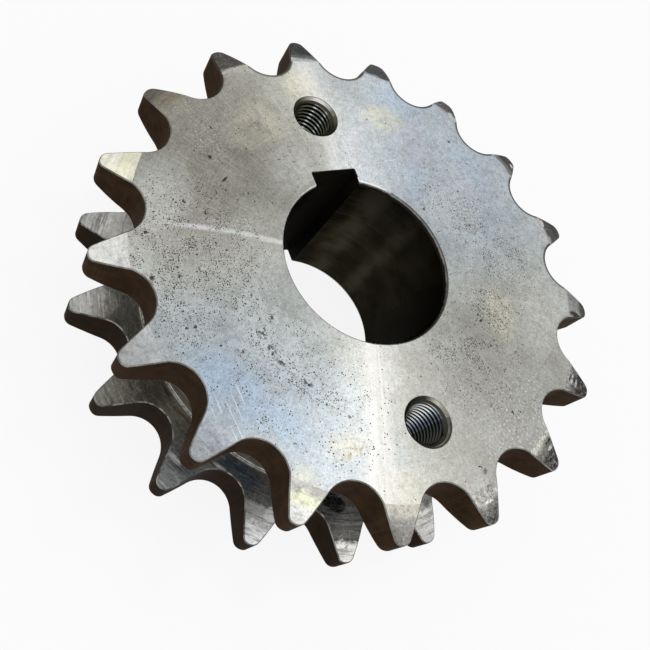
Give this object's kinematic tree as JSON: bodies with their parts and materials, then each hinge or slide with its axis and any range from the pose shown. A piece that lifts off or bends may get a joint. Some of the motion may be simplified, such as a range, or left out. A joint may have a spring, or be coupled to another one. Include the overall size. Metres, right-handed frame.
{
  "type": "duplex chain sprocket",
  "caption": "One-piece steel sprocket for a two-strand roller chain, with a keyed bore, tapped holes in its face and a short hub behind.",
  "frame": {"origin": "centre of the hub's plain end face, on the bore's axis", "axes": "+Z along the bore's axis from the hub towards the free face, +Y through the middle of the keyway"},
  "size_m": [0.148, 0.1484, 0.048],
  "materials": {
    "steel": "turned and worn, with dark oxide on the tooth flanks and in the bore"
  },
  "bodies": {
    "root": {"sprocket": "steel"}
  },
  "joints": []
}
